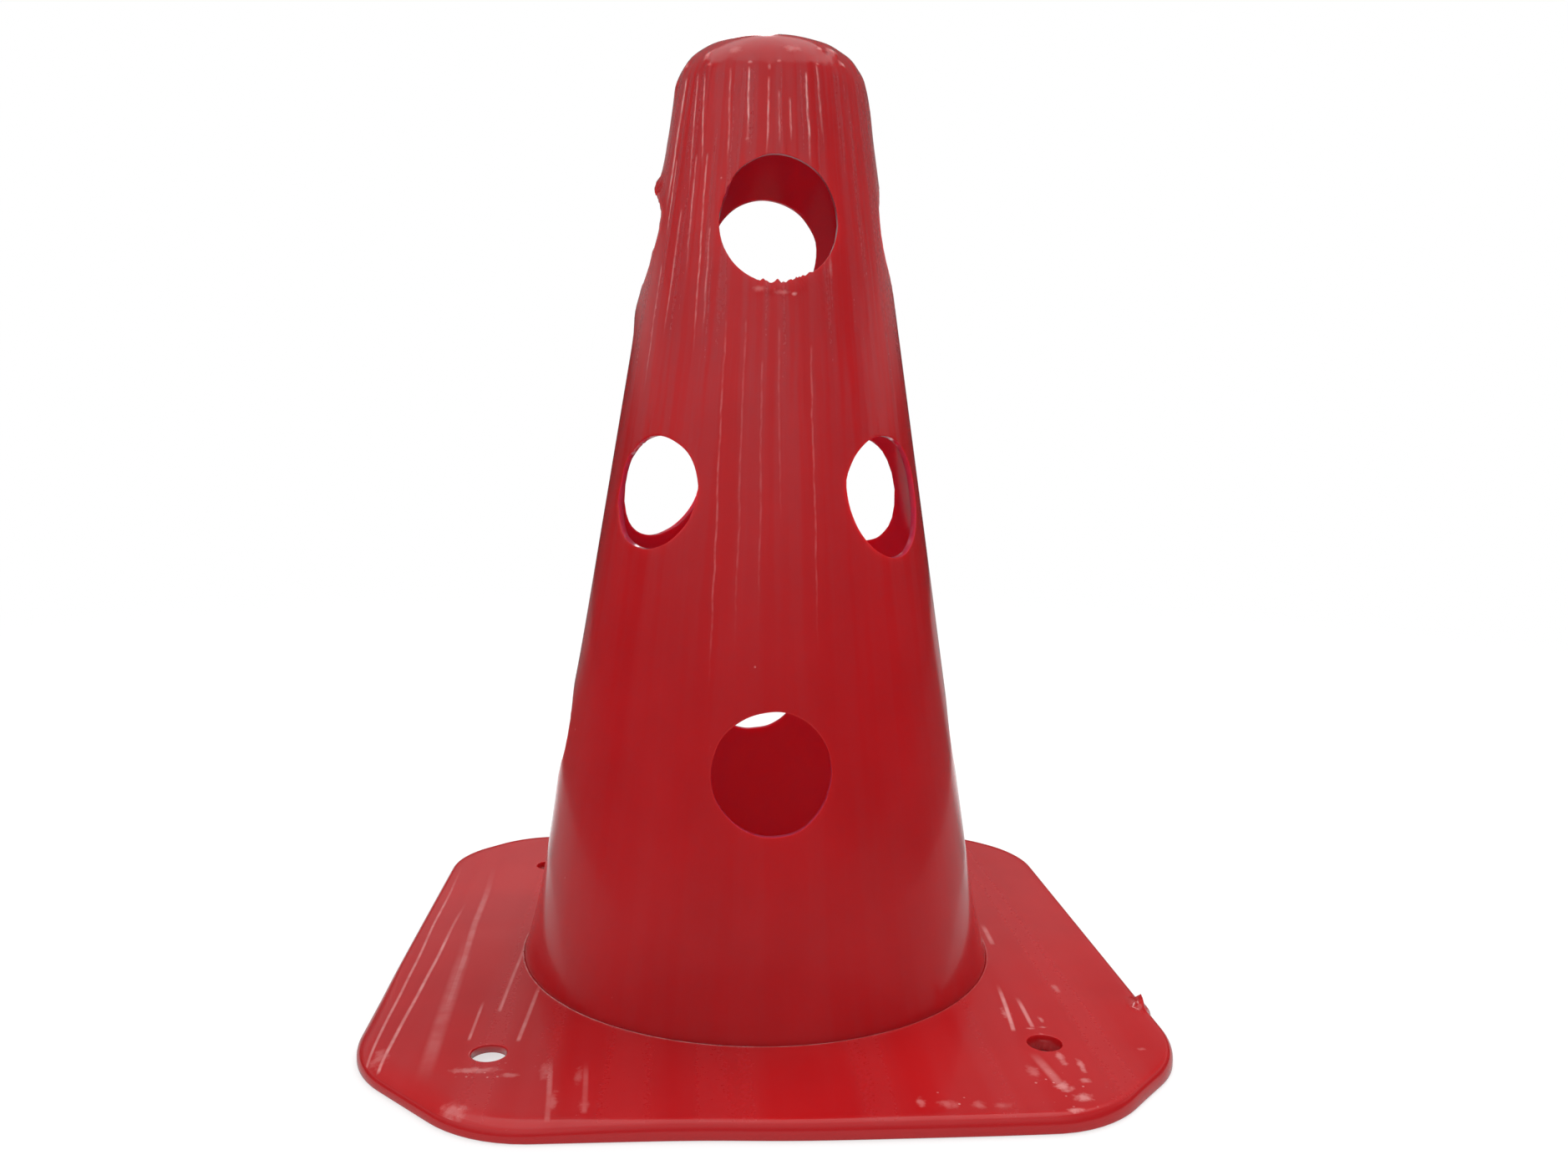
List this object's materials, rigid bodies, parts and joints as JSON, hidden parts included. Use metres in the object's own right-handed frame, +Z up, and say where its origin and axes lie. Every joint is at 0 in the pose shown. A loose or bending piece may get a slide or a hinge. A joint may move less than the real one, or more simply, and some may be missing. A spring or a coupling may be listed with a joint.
{
  "type": "sports marker cone",
  "caption": "Tapered hollow marker cone with staggered pole holes, a rounded open crown and a flared foot seated in a square base plate with cut, rounded corners and peg holes.",
  "frame": {"origin": "on the floor under the plate, on the axis of the cone", "axes": "+Z up the cone's axis; X and Y square to the plate's sides, through the pole holes of the lowest and top rows; -Y is the side that faces the camera"},
  "size_m": [0.236, 0.236, 0.3],
  "materials": {
    "cone_plastic": "gloss",
    "plate_plastic": "gloss"
  },
  "bodies": {
    "root": {"cone_body": "cone_plastic", "base_plate": "plate_plastic"}
  },
  "joints": []
}
